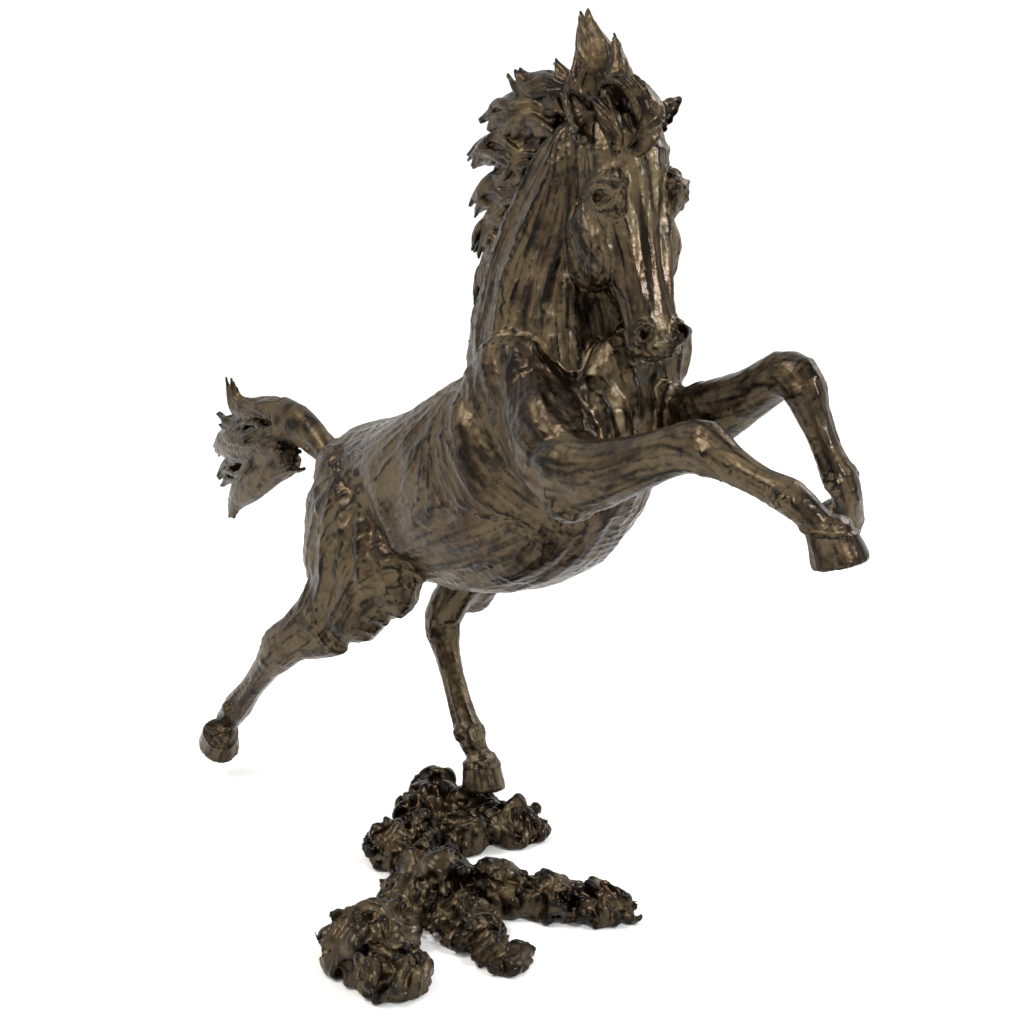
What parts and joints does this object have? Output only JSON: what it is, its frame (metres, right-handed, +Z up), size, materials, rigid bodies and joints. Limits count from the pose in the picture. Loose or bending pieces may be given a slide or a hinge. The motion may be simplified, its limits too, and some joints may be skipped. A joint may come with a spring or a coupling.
{
  "type": "bronze horse statue",
  "caption": "Cast bronze statue of a leaping horse, head turned and tail flying, balanced on a hind hoof over a low base of hand-pressed clods.",
  "frame": {"origin": "on the ground, under the middle of the statue's bounding box", "axes": "+X the way the horse leaps, +Y to the horse's left, +Z up"},
  "size_m": [0.9144, 0.338, 0.7265],
  "materials": {
    "bronze_horse": "dark brown patina, waxed, rubbed lighter on ridges",
    "bronze_hair": "dark brown patina, waxed, rubbed lighter on strand edges",
    "bronze_base": "dark brown patina, waxed, copper-coloured on rubbed folds",
    "steel": "plain stainless"
  },
  "bodies": {
    "root": {"base_front_clod": "bronze_base", "base_hoof_rock": "bronze_base", "base_left_lobe": "bronze_base", "base_neck": "bronze_base", "base_ridge": "bronze_base", "base_right_arm": "bronze_base", "base_right_lobe": "bronze_base", "base_tongue": "bronze_base", "body_front": "bronze_horse", "body_rear": "bronze_horse", "ear_left": "bronze_horse", "ear_right": "bronze_horse", "foreleg_left_lower": "bronze_horse", "foreleg_left_upper": "bronze_horse", "foreleg_right_lower": "bronze_horse", "foreleg_right_upper": "bronze_horse", "forelock": "bronze_hair", "head": "bronze_horse", "hindleg_left_lower": "bronze_horse", "hindleg_left_upper": "bronze_horse", "hindleg_right_lower": "bronze_horse", "hindleg_right_upper": "bronze_horse", "mane_lock_1": "bronze_hair", "mane_lock_2": "bronze_hair", "mane_lock_3": "bronze_hair", "mane_lock_4": "bronze_hair", "mane_lock_5": "bronze_hair", "mane_lock_6": "bronze_hair", "neck": "bronze_horse", "poll_flame": "bronze_hair", "rod_nut": "steel", "rod_washer": "steel", "support_rod": "steel", "tail_dock": "bronze_hair", "tail_plume_lower": "bronze_hair", "tail_plume_middle": "bronze_hair", "tail_plume_upper": "bronze_hair"}
  },
  "joints": []
}
